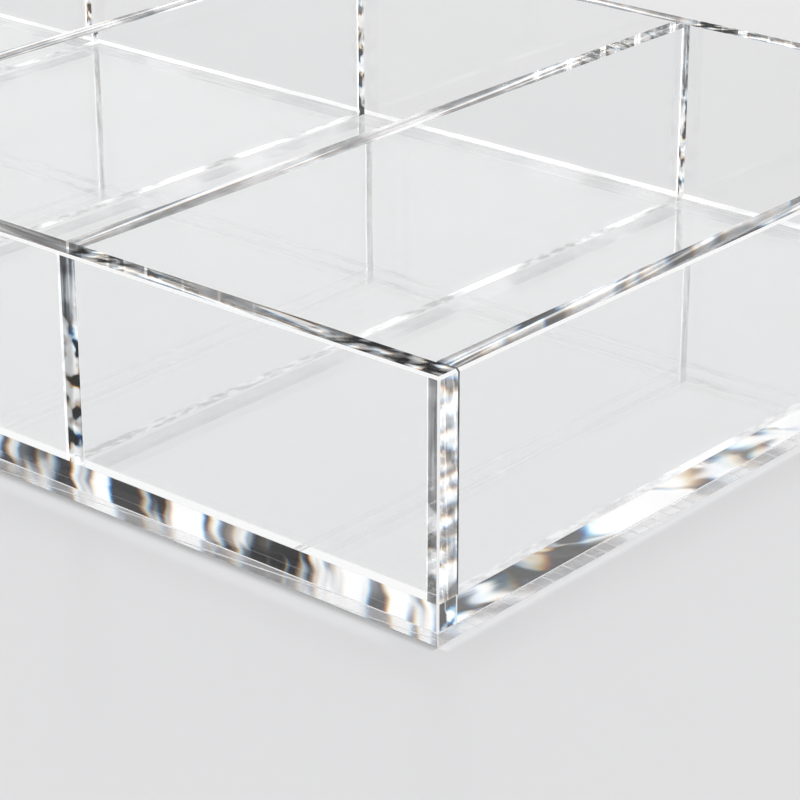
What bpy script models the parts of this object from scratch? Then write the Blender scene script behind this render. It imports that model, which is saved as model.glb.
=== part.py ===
# Eyeglasses tray of clear acrylic sheet: square-cut, edge-polished plates bonded into open bays.
# The front is at -Y and the right end at +X. The origin is the middle of the underside. Metres, +Z up.
import bpy

# Outside of the tray
tray_depth = 0.1628
tray_height = 0.0406

# Sheets that the plates are cut from
wall_thickness = 0.0040
divider_thickness = 0.0040
floor_thickness = 0.0040
under_sheet_thickness = 0.0021

# Clear widths between the upright plates, from the right end to the left end
end_bay_width = 0.0684
middle_bay_width = 0.0768
bay_widths = (end_bay_width, middle_bay_width, middle_bay_width, end_bay_width)

# Solvent joint between two plates, and the arris polished along every cut edge
bond_gap = 0.0003
arris_width = 0.00025
arris_segments = 2

# Heights of the layers
floor_base = under_sheet_thickness + bond_gap
floor_top = floor_base + floor_thickness
wall_base = floor_top + bond_gap
wall_height = tray_height - wall_base

# Outside width, from the bays and the uprights round them
divider_count = len(bay_widths) - 1
tray_width = 2 * wall_thickness + sum(bay_widths) + divider_count * divider_thickness

# Side walls and dividers stand between the front and back walls
crosswise_length = tray_depth - 2 * (wall_thickness + bond_gap)

# Clear acrylic
acrylic_colour = (0.93, 0.95, 0.96, 1.0)
acrylic_roughness = 0.02
acrylic_refraction = 1.49


def clear_scene():
    for old in list(bpy.data.objects):
        bpy.data.objects.remove(old, do_unlink=True)


def acrylic(name):
    """Clear cast acrylic with a flame-polished edge, one copy for each plate."""
    material = bpy.data.materials.new(name + "_acrylic")
    material.use_nodes = True
    shader = material.node_tree.nodes["Principled BSDF"]
    shader.inputs["Base Color"].default_value = acrylic_colour
    shader.inputs["Metallic"].default_value = 0.0
    shader.inputs["Roughness"].default_value = acrylic_roughness
    shader.inputs["IOR"].default_value = acrylic_refraction
    shader.inputs["Transmission Weight"].default_value = 1.0
    return material


def plate(name, size, base_centre, collection):
    """One square-cut sheet, standing on base_centre, with its arrises broken all round."""
    half_height = size[2] / 2
    centre = (base_centre[0], base_centre[1], base_centre[2] + half_height)
    bpy.ops.mesh.primitive_cube_add(size=1, location=centre, scale=size)
    sheet = bpy.context.object
    sheet.name = name
    sheet.data.name = name
    bpy.ops.object.transform_apply(location=False, rotation=False, scale=True)
    arris = sheet.modifiers.new("arris", "BEVEL")
    arris.width = arris_width
    arris.segments = arris_segments
    arris.limit_method = "ANGLE"
    sheet.data.materials.append(acrylic(name))
    for old in sheet.users_collection:
        old.objects.unlink(sheet)
    collection.objects.link(sheet)
    return sheet


def base_layers(collection):
    """The thin under sheet and the floor plate on it, both as wide and deep as the tray."""
    plate("under_sheet", (tray_width, tray_depth, under_sheet_thickness), (0, 0, 0), collection)
    plate("floor_plate", (tray_width, tray_depth, floor_thickness), (0, 0, floor_base), collection)


def front_and_back_walls(collection):
    """The long walls run past the ends of the side walls, so their cut ends show at the corners."""
    wall_y = (tray_depth - wall_thickness) / 2
    size = (tray_width, wall_thickness, wall_height)
    plate("front_wall", size, (0, -wall_y, wall_base), collection)
    plate("back_wall", size, (0, wall_y, wall_base), collection)


def side_walls(collection):
    """The end walls butt against the inner faces of the front and back walls."""
    wall_x = (tray_width - wall_thickness) / 2
    size = (wall_thickness, crosswise_length, wall_height)
    plate("right_wall", size, (wall_x, 0, wall_base), collection)
    plate("left_wall", size, (-wall_x, 0, wall_base), collection)


def dividers(collection):
    """Dividers flush with the rim, counted from the right end."""
    size = (divider_thickness, crosswise_length, wall_height)
    bay_right = tray_width / 2 - wall_thickness
    for number, bay_width in enumerate(bay_widths[:-1], start=1):
        divider_right = bay_right - bay_width
        divider_x = divider_right - divider_thickness / 2
        plate("divider_%d" % number, size, (divider_x, 0, wall_base), collection)
        bay_right = divider_right - divider_thickness


def main():
    clear_scene()
    tray = bpy.data.collections.new("eyeglasses_tray")
    bpy.context.scene.collection.children.link(tray)
    base_layers(tray)
    front_and_back_walls(tray)
    side_walls(tray)
    dividers(tray)


main()
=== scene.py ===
import bpy
import bmesh
from mathutils import Matrix, Vector


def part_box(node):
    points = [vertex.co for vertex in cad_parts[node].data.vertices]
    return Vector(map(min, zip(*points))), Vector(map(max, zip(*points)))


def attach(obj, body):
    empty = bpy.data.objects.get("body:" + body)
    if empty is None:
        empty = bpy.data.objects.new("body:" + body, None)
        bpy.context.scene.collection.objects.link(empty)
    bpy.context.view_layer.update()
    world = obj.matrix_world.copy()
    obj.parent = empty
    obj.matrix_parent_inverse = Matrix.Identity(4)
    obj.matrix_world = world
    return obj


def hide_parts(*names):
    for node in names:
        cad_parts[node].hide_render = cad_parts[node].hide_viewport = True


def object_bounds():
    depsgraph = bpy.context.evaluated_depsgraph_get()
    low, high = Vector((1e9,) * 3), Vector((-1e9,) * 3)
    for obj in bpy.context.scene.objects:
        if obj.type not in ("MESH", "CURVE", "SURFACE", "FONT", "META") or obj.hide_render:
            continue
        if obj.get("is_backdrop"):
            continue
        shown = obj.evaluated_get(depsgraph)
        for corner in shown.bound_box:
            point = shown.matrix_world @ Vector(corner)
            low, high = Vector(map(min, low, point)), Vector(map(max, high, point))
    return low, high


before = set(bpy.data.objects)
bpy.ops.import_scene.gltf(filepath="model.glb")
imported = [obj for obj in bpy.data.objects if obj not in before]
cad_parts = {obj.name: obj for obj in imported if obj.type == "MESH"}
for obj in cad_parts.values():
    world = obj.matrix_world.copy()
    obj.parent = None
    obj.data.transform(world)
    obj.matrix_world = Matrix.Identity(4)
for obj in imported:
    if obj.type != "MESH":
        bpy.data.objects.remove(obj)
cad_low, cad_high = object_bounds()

# Thin under sheet
# The tray stands on a sheet of clear cast acrylic about half as thick as its plates. Its rim is
# saw-cut, its arrises are scraped, and it lies flat under the floor plate on a film of cement.
half_gap = 0.00015
half_film = 0.000015
sheet_arris = 0.00008
seam_arris = 0.00014
sheet_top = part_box("under_sheet")[1].z
same_place = 0.0005
square_on = 0.9
acrylic_ior = 1.49
acrylic_tint = (0.992, 0.994, 0.995)
deeper_tint = 0.996
tint_clouds = 42.0
soft_edge, softer_edge = (0.35, 0.65), (0.3, 0.7)
scraped_white = (0.98, 0.985, 0.99, 1.0)
full_white = (1.0, 1.0, 1.0, 1.0)
scraper_chatter = 900.0
scraped_haze = (0.25, 0.4)
saw_marks = (60.0, 60.0, 900.0)
sawn_clear = 0.8
sawn_haze = (0.006, 0.024)


class Socket:
    """An output of a shader node, with arithmetic that adds Math nodes."""

    def __init__(self, tree, output):
        self.tree, self.output = tree, output

    def node(self, kind, settings=None, values=None, output=0):
        made = self.tree.nodes.new(kind)
        for name, value in (settings or {}).items():
            setattr(made, name, value)
        for name, value in (values or {}).items():
            if isinstance(value, Socket):
                self.tree.links.new(value.output, made.inputs[name])
            else:
                made.inputs[name].default_value = value
        return Socket(self.tree, made.outputs[output])

    def math(self, operation, *others):
        values = dict(enumerate((self, *others)))
        return self.node("ShaderNodeMath", {"operation": operation}, values)

    def __add__(self, other):
        return self.math("ADD", other)

    def __mul__(self, other):
        return self.math("MULTIPLY", other)

    def __sub__(self, other):
        return self.math("SUBTRACT", other)

    def __rsub__(self, other):
        return (self * -1.0) + other

    def __gt__(self, other):
        return self.math("GREATER_THAN", other)

    def __lt__(self, other):
        return self.math("LESS_THAN", other)

    __radd__ = __add__
    __rmul__ = __mul__

    def ease(self, low, high, to_low=0.0, to_high=1.0):
        steps = {"From Min": low, "From Max": high, "To Min": to_low, "To Max": to_high}
        settings = {"interpolation_type": "SMOOTHSTEP"}
        return self.node("ShaderNodeMapRange", settings, {"Value": self, **steps})

    def feeds(self, shader, name):
        self.tree.links.new(self.output, shader.inputs[name])


def opened(material):
    """A material's shader, and the place on the object that its finish is drawn by."""
    start = Socket(material.node_tree, None)
    place = start.node("ShaderNodeTexCoord", output="Object")
    return material.node_tree.nodes["Principled BSDF"], place


def new_material(name):
    """A bare material, with its shader and the place to draw by."""
    material = bpy.data.materials.new(name)
    material.use_nodes = True
    return material, *opened(material)


def settle(shader, constants):
    """Set what is the same all over a surface on the shader itself."""
    for name, value in constants.items():
        shader.inputs[name].default_value = value


def noise(place, scale=1.0, detail=1.0, seed=None, rough=0.5):
    """Soft spots of light and shade. A seed picks their layout."""
    values = {"Vector": place, "Scale": scale, "Detail": detail, "Roughness": rough}
    if seed is None:
        return place.node("ShaderNodeTexNoise", values=values)
    return place.node("ShaderNodeTexNoise", {"noise_dimensions": "4D"}, {**values, "W": seed})


def mixed(share, first, second):
    """A colour between two: the first where the share is 0, the second where it is 1."""
    colours = {0: share, 6: first, 7: second}
    return share.node("ShaderNodeMix", {"data_type": "RGBA"}, colours, output=2)


def stretched(place, scale):
    """A place with its own scale along each axis, for a pattern that is drawn out."""
    return place.node("ShaderNodeMapping", values={"Vector": place, "Scale": scale})


def acrylic(name, seed, glare=1.0, ripple=0.000006, waves=70.0):
    """Clear cast acrylic: faintly uneven tint, and the slow ripple of a cast face."""
    material, shader, place = new_material(name)
    settle(shader, {
        "IOR": acrylic_ior, "Transmission Weight": 1.0, "Roughness": 0.0,
        "Specular Tint": (glare, glare, glare, 1.0),
    })
    deep = tuple(colour * deeper_tint for colour in acrylic_tint)
    cloud = noise(place, tint_clouds, seed=seed).ease(*soft_edge)
    mixed(cloud, (*acrylic_tint, 1.0), (*deep, 1.0)).feeds(shader, "Base Color")
    height = noise(place, waves, detail=0.0, seed=seed + 3.0)
    relief = {"Height": height, "Strength": 1.0, "Distance": ripple}
    place.node("ShaderNodeBump", values=relief).feeds(shader, "Normal")
    return material


def scraped_arris(name, seed):
    """A scraped edge: frosted white, with the fine chatter that the scraper leaves."""
    material, shader, place = new_material(name)
    settle(shader, {"IOR": acrylic_ior})
    chatter = noise(place, scraper_chatter, detail=2.0, seed=seed)
    chatter.ease(*softer_edge, *scraped_haze).feeds(shader, "Roughness")
    mixed(chatter, scraped_white, full_white).feeds(shader, "Base Color")
    return material


def sawn_edge(name, seed):
    """A saw-cut edge: clear but faintly ground, so that what is seen through it is blurred."""
    material = acrylic(name, seed)
    shader, place = opened(material)
    settle(shader, {"Transmission Weight": sawn_clear})
    marks = noise(stretched(place, saw_marks), detail=2.0, seed=seed)
    marks.ease(*softer_edge, *sawn_haze).feeds(shader, "Roughness")
    return material


def plate(name, node, grow, body, arrises, finishes, joint=None):
    """A closed plate in a CAD node's place. Its faces move out by grow, so that bonded ones meet
    or keep a film between them, and a joint splits it across. Arrises are broken where asked."""
    low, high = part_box(node)
    low, high = low - Vector(grow[0]), high + Vector(grow[1])
    spans = [(low.y, high.y)]
    if joint is not None:
        spans = [(low.y, joint), (joint + 2 * half_film, high.y)]
    mesh = bmesh.new()
    for front, back in spans:
        for corner in bmesh.ops.create_cube(mesh, size=1.0)["verts"]:
            x = low.x if corner.co.x < 0.0 else high.x
            y = front if corner.co.y < 0.0 else back
            corner.co = (x, y, low.z if corner.co.z < 0.0 else high.z)
    materials = [body]

    def slot(finish):
        if finish not in materials:
            materials.append(finish)
        return materials.index(finish)

    for width, chosen, finish in arrises:
        edges = [e for e in mesh.edges if chosen((e.verts[0].co + e.verts[1].co) / 2, e)]
        cut = bmesh.ops.bevel(
            mesh, geom=edges, offset=width, offset_type="OFFSET", segments=1, profile=0.5,
            affect="EDGES", material=-1,
        )
        for face in cut["faces"]:
            face.material_index = slot(finish)
    mesh.normal_update()
    for chosen, finish in finishes:
        for face in mesh.faces:
            if face.material_index == 0 and chosen(face.normal, face.calc_center_median()):
                face.material_index = slot(finish)
    data = bpy.data.meshes.new(name)
    mesh.to_mesh(data)
    mesh.free()
    for material in materials:
        data.materials.append(material)
    piece = bpy.data.objects.new(name, data)
    bpy.context.scene.collection.objects.link(piece)
    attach(piece, "root")
    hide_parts(node)


def near(a, b):
    return abs(a - b) < same_place


def upright(edge):
    return abs((edge.verts[0].co - edge.verts[1].co).normalized().z) > square_on


def lower_or_corner(middle, edge):
    return near(middle.z, cad_low.z) or upright(edge)


def along_seam(middle, edge):
    return near(middle.z, sheet_top) and not upright(edge)


def faces_out(normal, middle):
    return abs(normal.z) < 1.0 - square_on


scraped = scraped_arris("scraped_arris", 5.0)
plate(
    "thin_under_sheet", "under_sheet", ((0, 0, 0), (0, 0, half_gap - half_film)),
    acrylic("thin_sheet_acrylic", 1.0),
    [(sheet_arris, lower_or_corner, scraped), (seam_arris, along_seam, scraped)],
    [(faces_out, sawn_edge("sawn_edge", 11.0))],
)

# Floor plate
# A full-footprint plate of clear cast acrylic under all the walls, with diamond-polished edges,
# stuck down on the thin sheet. A fine upright joint crosses it behind the front wall.
corner_arris = 0.0003
joint_arris = 0.00012
low_glare = 0.1
behind_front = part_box("front_wall")[1].y
cut_ripple = 0.000013
cut_waves = 260.0


def at_side(middle):
    return near(abs(middle.x), cad_high.x)


def at_front_or_back(middle):
    return near(abs(middle.y), cad_high.y)


def outer_corner(middle, edge):
    return upright(edge) and at_side(middle) and at_front_or_back(middle)


def front_joint(middle, edge):
    return upright(edge) and at_side(middle) and near(middle.y, behind_front)


def faces_side(normal, middle):
    return abs(normal.x) > square_on


def front_end(normal, middle):
    return faces_side(normal, middle) and middle.y < behind_front


plate(
    "tray_floor", "floor_plate", ((0, 0, half_gap - half_film), (0, 0, half_gap)),
    acrylic("floor_acrylic", 2.0, low_glare),
    [(corner_arris, outer_corner, scraped), (joint_arris, front_joint, scraped)],
    [(front_end, acrylic("cut_end", 12.0, low_glare, cut_ripple, cut_waves))],
    behind_front,
)

# Front and back walls
# Two full-width strips of the same sheet with polished edges, stood on the floor plate. Their top
# edges carry painted streaks of light and shade, and their ends painted patches of light. Cement
# doesn't wet the whole foot, so a film of air shows there as a white band under the wall, with
# painted glints of light on it.
wall_arris = 0.0004
foot_drop = half_gap - 2 * half_film
divider_pitch = 0.0808
joint_starts, joint_fades = (0.0012, 0.003), (0.008, 0.021)
corner_starts = (0.126, 0.14)
light_starts, light_fades = (0.0075, 0.0095), (0.014, 0.02)
light_beyond, joint_shade = 0.06, 0.03
front_fades = (-0.08, -0.03)
short_along, short_across = 260.0, 520.0
long_slant, short_slant = 0.035, 0.3
edge_fringe = 0.035
edge_black, edge_dark, edge_glow = (0.38, 0.5, 0.75, 0.0), (0.42, 0.6), (0.57, 0.65, 0.0, 0.5)
patch_fringe = 0.03
patch_slant, patch_height = (150.0, 110.0), 330.0
patch_clear = 0.45
patch_tones, patch_glow = (0.35, 0.5, 0.36, 1.0), (0.44, 0.6, 0.0, 0.36)
mottles, painted_glint_size = 330.0, 60.0
painted_glint_edge, toward_back = (0.45, 0.6), (-0.05, 0.03)
painted_glint_glow, painted_glint_tone = 0.35, 0.4
cool_green, cool_blue = 1.005, 1.015


def coordinate(place, axis):
    """One coordinate of a place: x, y or z for 0, 1 or 2."""
    return place.node("ShaderNodeSeparateXYZ", values={0: place}, output=axis)


def point(x, y, z):
    """A place put together from its coordinates."""
    return x.node("ShaderNodeCombineXYZ", values={0: x, 1: y, 2: z})


def colour_of(tones):
    """A colour from its red, green and blue tones."""
    return tones[0].node("ShaderNodeCombineColor", values=dict(enumerate(tones)))


def polished_edge_painted_light(name, seed, axis, along, across, light, darkest, joints=0.0, front=0.0):
    """A polished top edge with painted light and shade: painted streaks run along it, with short
    ones by a joint.
    """
    material, shader, place = new_material(name)
    settle(shader, {
        "IOR": acrylic_ior, "Transmission Weight": 1.0, "Roughness": 0.0,
        "Specular Tint": (0.0, 0.0, 0.0, 1.0), "Emission Strength": 1.0,
    })
    run, cross = coordinate(place, axis), coordinate(place, 1 - axis)
    outward = run.math("ABSOLUTE")
    past_joint = outward.math("FLOORED_MODULO", divider_pitch)
    # Painted shade in short, darker streaks by each joint and near the corner; painted light just
    # past each joint and toward the front.
    by_joint = past_joint.ease(*joint_fades, joints, 0.0) * past_joint.ease(*joint_starts)
    by_joint = by_joint + outward.ease(*corner_starts, 0.0, joints)
    beyond = past_joint.ease(*light_fades, light_beyond * joints, 0.0)
    beyond = past_joint.ease(*light_starts) * beyond + run.ease(*front_fades, front, 0.0)

    def streaks(shift):
        """Painted light and shade for one colour, shifted a little so that it has a coloured
        fringe.
        """
        slant = (cross + run * long_slant) * across
        drawn_out = noise(point(run * along, slant + shift, seed))
        slant = (cross - run * short_slant) * short_across
        short = noise(point(run * short_along + shift, slant, seed))
        tone = drawn_out + (short - drawn_out) * by_joint
        return tone + light - by_joint * joint_shade + beyond

    tones = [streaks(shift) for shift in (-edge_fringe, 0.0, edge_fringe)]
    # Painted black by the joints, painted dark streaks, and painted light that glows in the bright
    # streaks.
    black = tones[1].ease(*edge_black) * by_joint
    black.feeds(shader, "Metallic")
    dark = [tone.ease(*edge_dark, darkest, 1.0) * (1.0 - black) for tone in tones]
    colour_of(dark).feeds(shader, "Base Color")
    colour_of([tone.ease(*edge_glow) for tone in tones]).feeds(shader, "Emission Color")
    return material


def polished_end_painted_light(name, seed):
    """A polished end: clear, with slanting silvery patches of painted light, lighter and glowing,
    for light from inside the plate.
    """
    material = acrylic(name, seed, ripple=cut_ripple, waves=cut_waves)
    shader, place = opened(material)
    settle(shader, {"Transmission Weight": patch_clear, "Emission Strength": 1.0})
    y, z = coordinate(place, 1), coordinate(place, 2)
    slant = y * patch_slant[0] + z * patch_slant[1]
    tones = [
        noise(point(slant + shift, z * patch_height + shift, seed))
        for shift in (-patch_fringe, 0.0, patch_fringe)
    ]
    # The patches are painted light: a lighter colour and a glow.
    colour_of([tone.ease(*patch_tones) for tone in tones]).feeds(shader, "Base Color")
    colour_of([tone.ease(*patch_glow) for tone in tones]).feeds(shader, "Emission Color")
    return material


def silvery_foot_painted_glints(name, seed, dull, bright, haze):
    """The foot's film: a mottled silvery band with painted glints of light that glow toward the
    back, so it is greyer toward the front than at the back.
    """
    material, shader, place = new_material(name)
    settle(shader, {"Metallic": 1.0, "Roughness": haze, "Emission Strength": 1.0})
    # Painted glints of light that glow, only toward the back.
    lit = noise(place, painted_glint_size, detail=2.0, seed=seed).ease(*painted_glint_edge)
    lit = lit * coordinate(place, 1).ease(*toward_back)
    colour_of([lit * painted_glint_glow] * 3).feeds(shader, "Emission Color")
    tone = noise(place, mottles, detail=2.0, seed=seed).ease(*soft_edge, dull, bright)
    tone = tone + lit * painted_glint_tone
    colour_of([tone, tone * cool_green, tone * cool_blue]).feeds(shader, "Base Color")
    return material


def outer_rim(middle, edge):
    return near(middle.z, cad_high.z) and (at_side(middle) or at_front_or_back(middle))


def faces_up(normal, middle):
    return normal.z > square_on


def faces_down(normal, middle):
    return normal.z < -square_on


def back_underside(normal, middle):
    return faces_down(normal, middle) and middle.y > 0.0


wall_acrylic = acrylic("wall_acrylic", 3.0)
wall_top = polished_edge_painted_light(
    "wall_top", 21.0, axis=0, along=35.0, across=620.0, light=-0.02, darkest=0.2, joints=1.0)
wall_end = polished_end_painted_light("wall_end", 48.0)
# Each foot is the same film painted at its own brightness: brightest under the back wall, darker
# under the side walls, darkest under the dividers.
back_foot = silvery_foot_painted_glints("back_foot", 19.0, dull=0.95, bright=1.05, haze=0.0)
for name, node in (("front_panel", "front_wall"), ("back_panel", "back_wall")):
    plate(
        name, node, ((0, 0, foot_drop), (0, 0, 0)), wall_acrylic,
        [(wall_arris, outer_rim, scraped), (corner_arris, outer_corner, scraped)],
        [(faces_up, wall_top), (faces_side, wall_end), (back_underside, back_foot)],
    )

# Side walls
# Two shorter strips that butt between the front and back walls. Each butt joint shows as a dark
# upright line of cement. Beside it, on the strip's end, lie dark blots of painted shade, columns
# that glow with painted light, and a white fillet that glows with painted light too. Their top
# edges carry painted streaks of light and shade.
seam_groove = 0.00018
seam_gloss = 0.3
seam_grain = 220.0
seam_dark, seam_light = 0.03, (0.2, 0.22, 0.24)
side_reach = half_gap - half_film
past_middle = 0.05
side_fillet = 0.15137
fillet_glow = 0.45
end_ripple = 0.000007
end_clear = 0.6
end_detail = 1.5
end_fringe = 0.04
blot_edge, blot_light = (0.45, 0.54), 0.8
black_edge, gap_glow = (0.44, 0.49), (0.52, 0.58)
column_shape = (900.0, 1.0, 30.0)
column_fade, column_fringe = 0.008, 0.012
column_glow = (0.54, 0.64, 0.0, 0.5)


def seam_line(name, seed):
    """A fine groove of dark cement along a joint."""
    material, shader, place = new_material(name)
    settle(shader, {"Roughness": seam_gloss})
    uneven = noise(place, seam_grain, seed=seed)
    tones = [uneven.ease(*soft_edge, seam_dark, light) for light in seam_light]
    colour_of(tones).feeds(shader, "Base Color")
    return material


def cemented_end_painted_light(name, seed, wide, high, light, glow, deep, black, top, columns, fillet):
    """A cemented end with painted light and shade: dark blots of painted shade, plain columns
    above them that glow with painted light, and a white fillet along the part of its width that
    fillet picks out, which glows with painted light too."""
    material = acrylic(name, seed, 0.0, end_ripple, cut_waves)
    shader, place = opened(material)
    settle(shader, {"Transmission Weight": end_clear, "Emission Strength": 1.0})
    white = fillet(coordinate(place, 0))
    lower = coordinate(place, 2).ease(top - column_fade, top, 1.0, 0.0)
    blots = stretched(place, (wide, 1.0, high))
    spreads = [
        noise(blots, detail=end_detail, seed=seed + shift) + light
        for shift in (-end_fringe, 0.0, end_fringe)
    ]
    upper = noise(stretched(place, column_shape), detail=end_detail, seed=seed + end_fringe)
    from_low, *others = columns
    tones = []
    for i, spread in enumerate(spreads):
        smooth = upper.ease(from_low - i * column_fringe, *others)
        blotted = spread.ease(*blot_edge, deep, blot_light)
        tones.append((smooth + (blotted - smooth) * lower).math("MAXIMUM", white))
    colour_of(tones).feeds(shader, "Base Color")
    # Painted black in the darkest blots.
    blackened = spreads[1].ease(*black_edge, black, 0.0) * lower * (1.0 - white)
    blackened.feeds(shader, "Metallic")
    # Painted light: the columns and the gaps between the blots glow, and so does the fillet.
    bright = upper.ease(*column_glow)
    bright = (bright + (spreads[1].ease(*gap_glow) - bright) * lower) * glow
    bright = bright + white * fillet_glow
    colour_of([bright] * 3).feeds(shader, "Emission Color")
    return material


def outer_top(middle, edge):
    return outer_rim(middle, edge) and abs(middle.y) < past_middle


def butt_seam(middle, edge):
    outside = at_side(middle) and upright(edge)
    return abs(middle.y) > past_middle and (outside or near(middle.z, cad_high.z))


def faces_along(normal, middle):
    return abs(normal.y) > square_on


side_acrylic = acrylic("side_acrylic", 4.0)
side_top = polished_edge_painted_light(
    "side_top", 24.0, axis=1, along=10.0, across=900.0, light=-0.04, darkest=0.44)
side_end = cemented_end_painted_light(
    "side_end", 33.0, wide=200.0, high=260.0, light=0.01, glow=0.25, deep=0.2, black=0.0,
    top=0.025, columns=(0.35, 0.65, 0.26, 0.5), fillet=lambda x: x.math("ABSOLUTE") < side_fillet,
)
side_foot = silvery_foot_painted_glints("side_foot", 17.0, dull=0.7, bright=0.92, haze=0.0)
seam = seam_line("seam_line", 16.0)
for name, node in (("right_panel", "right_wall"), ("left_panel", "left_wall")):
    plate(
        name, node, ((0, side_reach, foot_drop), (0, side_reach, 0)), side_acrylic,
        [(wall_arris, outer_top, scraped), (seam_groove, butt_seam, seam)],
        [(faces_up, side_top), (faces_along, side_end), (faces_down, side_foot)],
    )

# Dividers
# Three strips that stand across the tray between the bays, as high as the walls. They are
# cemented at the foot and both ends. Beside the glue lie a white fillet that also glows with
# painted light, blots of painted shade painted black, and columns that glow with painted light.
# Their top edges carry painted streaks of light and shade.
weld = 0.00001
end_arris = 0.0001
divider_fillet = 0.0007
divider_reach = 2 * half_gap + weld


def any_upright(middle, edge):
    return upright(edge)


divider_acrylic = acrylic("divider_acrylic", 6.0)
divider_top = polished_edge_painted_light(
    "divider_top", 27.0, axis=1, along=16.0, across=800.0, light=0.0, darkest=0.55, front=0.04)
divider_foot = silvery_foot_painted_glints("divider_foot", 15.0, dull=0.5, bright=0.8, haze=0.06)
for count in (1, 2, 3):
    fillet_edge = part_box(f"divider_{count}")[0].x + divider_fillet
    divider_end = cemented_end_painted_light(
        f"divider_end_{count}", 94.0, wide=330.0, high=330.0, light=0.015, glow=0.15, deep=0.0,
        black=1.0, top=0.034, columns=(0.42, 0.57, 0.06, 0.7), fillet=lambda x: x < fillet_edge,
    )
    plate(
        f"divider_panel_{count}", f"divider_{count}",
        ((0, divider_reach, foot_drop), (0, divider_reach, 0)), divider_acrylic,
        [(end_arris, any_upright, scraped)],
        [(faces_up, divider_top), (faces_along, divider_end), (faces_down, divider_foot)],
    )

# Table top
# The tray is photographed on a pale glossy sweep, painted brighter toward the back left. Clear
# plates hardly dim the light, so where the sweep is seen through them it glows with painted light,
# as bright under them as beside them. Along the base it has a painted shadow and painted lines of
# light, behind the back wall a painted pool of light, and under the walls painted streaks of light
# and shade for the light led along inside the plates.
sweep_reach = 3.0
sweep_drop = 0.0001
sweep_gloss = 0.3
ground_painted_dim_near = (0.755, 0.755, 0.765, 1.0)
ground_painted_bright_far = (0.81, 0.81, 0.815, 1.0)
seen_painted_dim_near = (0.735, 0.735, 0.742, 1.0)
seen_painted_bright_far = (0.775, 0.775, 0.78, 1.0)
led_bounces = 3.5
seen_share = 0.8
away = (0.65, 0.76)
far_fades = (-0.15, 0.3)
under_edge = -0.0003
shade_fades, front_shade = (0.0003, 0.0016), 0.3
line_starts, line_fades, line_corner = (0.0012, 0.0022), (0.003, 0.0055), (-0.012, -0.002)
front_light = 0.09
side_fades, side_light = (0.0008, 0.0022), 0.2
back_starts, back_ends, back_far = 0.001, 0.006, 0.011
thrown_spots, thrown_tones, back_light = 26.0, (0.36, 0.55, 0.3, 1.0), 0.45
foot_width = 0.0105
foot_across, foot_along, foot_rough = 700.0, 45.0, 0.55
foot_dark = 0.02


def rays(start):
    """The share of rays that came through clear plates, and of those led along inside them."""
    through = start.node("ShaderNodeLightPath", output="Is Transmission Ray")
    mirrored = start.node("ShaderNodeLightPath", output="Glossy Depth") > led_bounces
    unspread = start.node("ShaderNodeLightPath", output="Diffuse Depth") < 0.5
    return through, mirrored * unspread


def lit_by(colour, strength):
    """A colour made brighter or darker."""
    values = {0: colour, "Scale": strength}
    return colour.node("ShaderNodeVectorMath", {"operation": "SCALE"}, values)


def painted_foot_streaks(across, along, seed, low, high):
    """Painted light and shade in long streaks that run along a foot."""
    place = point(across * foot_across, along * foot_along, seed)
    return noise(place, detail=2.0, rough=foot_rough).ease(low, high, foot_dark, 1.0)


mesh = bmesh.new()
bmesh.ops.create_grid(mesh, x_segments=1, y_segments=1, size=sweep_reach)
bmesh.ops.translate(mesh, vec=(0, 0, -sweep_drop), verts=mesh.verts)
data = bpy.data.meshes.new("sweep")
mesh.to_mesh(data)
mesh.free()
sweep = bpy.data.objects.new("sweep", data)
bpy.context.scene.collection.objects.link(sweep)
sweep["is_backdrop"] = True
pale_sweep, shader, place = new_material("pale_sweep")
data.materials.append(pale_sweep)
settle(shader, {"Roughness": sweep_gloss})
x, y = coordinate(place, 0), coordinate(place, 1)
past_front, past_side = y.math("ABSOLUTE") - cad_high.y, x.math("ABSOLUTE") - cad_high.x
# The sweep is painted brighter toward the back left, away from the near corner, also where it is
# seen through the plates.
far = (y * away[1] - x * away[0]).ease(*far_fades)

# Painted shadow along the front of the base, and painted lines of light in front of it and along
# its sides.
shade = past_front.ease(*shade_fades, front_shade, 0.0)
front_line = past_front.ease(*line_starts, 0.0, front_light)
front_line = front_line * past_front.ease(*line_fades, 1.0, 0.0)
front_line = front_line * past_side.ease(*line_corner, 1.0, 0.0)
side_line = past_side.ease(*side_fades, side_light, 0.0)
beside_front = (past_side < 0.0) * (past_front > under_edge)
beside_side = (past_front < 0.0) * (past_side > under_edge)
fall = (front_line - shade) * beside_front + side_line * beside_side + 1.0
lit_by(mixed(far, ground_painted_dim_near, ground_painted_bright_far), fall).feeds(shader, "Base Color")

# A painted pool of light in spots on the sweep just behind the back wall.
behind = y.ease(cad_high.y, cad_high.y + back_starts)
behind = behind * y.ease(cad_high.y + back_ends, cad_high.y + back_far, 1.0, 0.0)
thrown = noise(place, thrown_spots).ease(*thrown_tones) * behind
thrown = thrown * (x.math("ABSOLUTE") < cad_high.x) * back_light + 1.0
seen = lit_by(mixed(far, seen_painted_dim_near, seen_painted_bright_far), thrown)
# Seen through the plates, the sweep glows with painted light instead of being lit.
glow = place.node("ShaderNodeEmission", values={"Color": seen})

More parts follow.
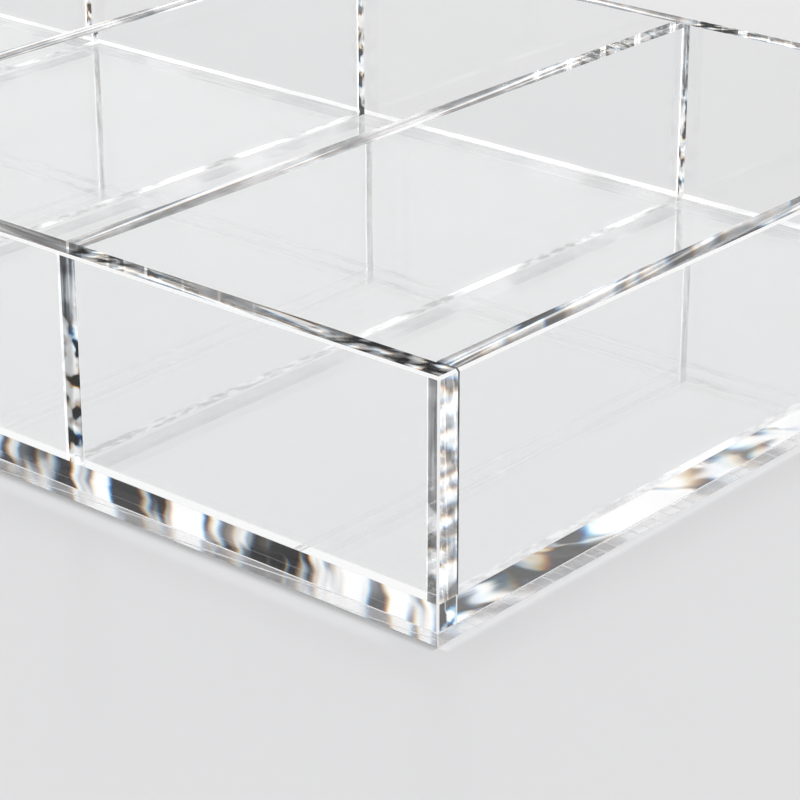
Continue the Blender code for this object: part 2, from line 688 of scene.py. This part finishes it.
# Rays led along inside the plates see the sweep under the tray glow with painted streaks of light
# and shade beneath the walls; outside the tray it lets them through.
by_front = y.math("ABSOLUTE") > cad_high.y - foot_width
inside = (y.math("ABSOLUTE") < cad_high.y) * (x.math("ABSOLUTE") < cad_high.x)
streak = painted_foot_streaks(y, x, seed=3.0, low=0.44, high=0.68) * by_front
streak = streak + painted_foot_streaks(x, y, seed=8.0, low=0.34, high=0.6) * (1.0 - by_front)
under = place.node("ShaderNodeEmission", values={"Color": streak})
clear = place.node("ShaderNodeBsdfTransparent")
clear = place.node("ShaderNodeMixShader", values={0: inside, 1: clear, 2: under})
through, led = rays(place)
ground = Socket(pale_sweep.node_tree, shader.outputs[0])
ground = place.node("ShaderNodeMixShader", values={0: through * seen_share, 1: ground, 2: glow})
ground = place.node("ShaderNodeMixShader", values={0: through * led, 1: ground, 2: clear})
ground.feeds(pale_sweep.node_tree.nodes["Material Output"], "Surface")

# Studio light
# A white tent all round gives soft, even light. Light that the plates lead along inside them
# comes out of their far edges, and sees the dark flags and pale screens that stand in the tent.
tent = (0.97, 0.97, 0.97, 1.0)
screen = 1.04
flag_edge, flag_fringe = (0.43, 0.57), 0.02
flag_size, flag_detail = 1.4, 2.5
front_layout, back_layout = 1452.0, 1443.0
degrees = 57.3
back_turn, back_height = 0.7, 55.0
front_height = 12.0
side_flags = 0.16
far_flags, near_flags = (131.6, 132.4, 0.12, 0.0), (137.3, 138.3, 0.0, -0.03)
quarter_light = 0.01
world = bpy.data.worlds.new("studio")
bpy.context.scene.world = world
world.use_nodes = True
start = Socket(world.node_tree, None)
through, led = rays(start)
gloss = start.node("ShaderNodeLightPath", output="Is Glossy Ray").math("MAXIMUM", through)
way = start.node("ShaderNodeTexCoord", output="Generated")
x, y, z = (coordinate(way, axis) for axis in (0, 1, 2))
turned_back = (x * y) > 0.0
sideways = (x < 0.0) * (y < 0.0)
both = (x > 0.0) * (y > 0.0)
front = (x < 0.0) * (y > 0.0)
layout = front_layout - turned_back * (front_layout - back_layout)
turn = y.math("ARCTAN2", x) * degrees * (1.0 - turned_back * back_turn)
height = z.math("ABSOLUTE") * (turned_back * back_height + front_height)
low = sideways * side_flags + turn.ease(*far_flags) * front
dark_end = turn.ease(*near_flags) * front


def flags(shift):
    """Dark flags and pale screens by direction, shifted a little for each colour."""
    spots = noise(point(turn + shift, height, layout), flag_size, flag_detail)
    lifted = spots + sideways * quarter_light + both * quarter_light - quarter_light
    return (lifted + dark_end).ease(*flag_edge, low, screen)


seen = colour_of([flags(shift) for shift in (-flag_fringe, 0.0, flag_fringe)])
light = mixed(gloss, tent, mixed(led, tent, seen))
light.feeds(world.node_tree.nodes["Background"], "Color")

# Camera
# It looks down on the near corner at about 23 degrees through a long lens, so that near and
# far edges keep nearly the same scale, as in the photograph.
camera = bpy.data.objects.new("camera", bpy.data.cameras.new("camera"))
bpy.context.scene.collection.objects.link(camera)
bpy.context.scene.camera = camera
camera.data.sensor_width = 36.0
camera.data.lens = 131.925
camera.data.clip_start = 0.01
stand = (0.38601974, -0.35723019, 0.19312772)
ahead = Vector((-0.59906161, 0.69519598, -0.3972754))
right = Vector((0.75793137, 0.65233284, -0.00138045))
turned = Matrix((right, right.cross(ahead), -ahead)).transposed().to_4x4()
camera.matrix_world = Matrix.Translation(stand) @ turned

inner_bounces = 160
scene = bpy.context.scene
scene.view_settings.view_transform = "Standard"
scene.cycles.max_bounces = inner_bounces
scene.cycles.glossy_bounces = inner_bounces
scene.cycles.transmission_bounces = inner_bounces
scene.cycles.blur_glossy = 0.0

low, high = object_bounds()
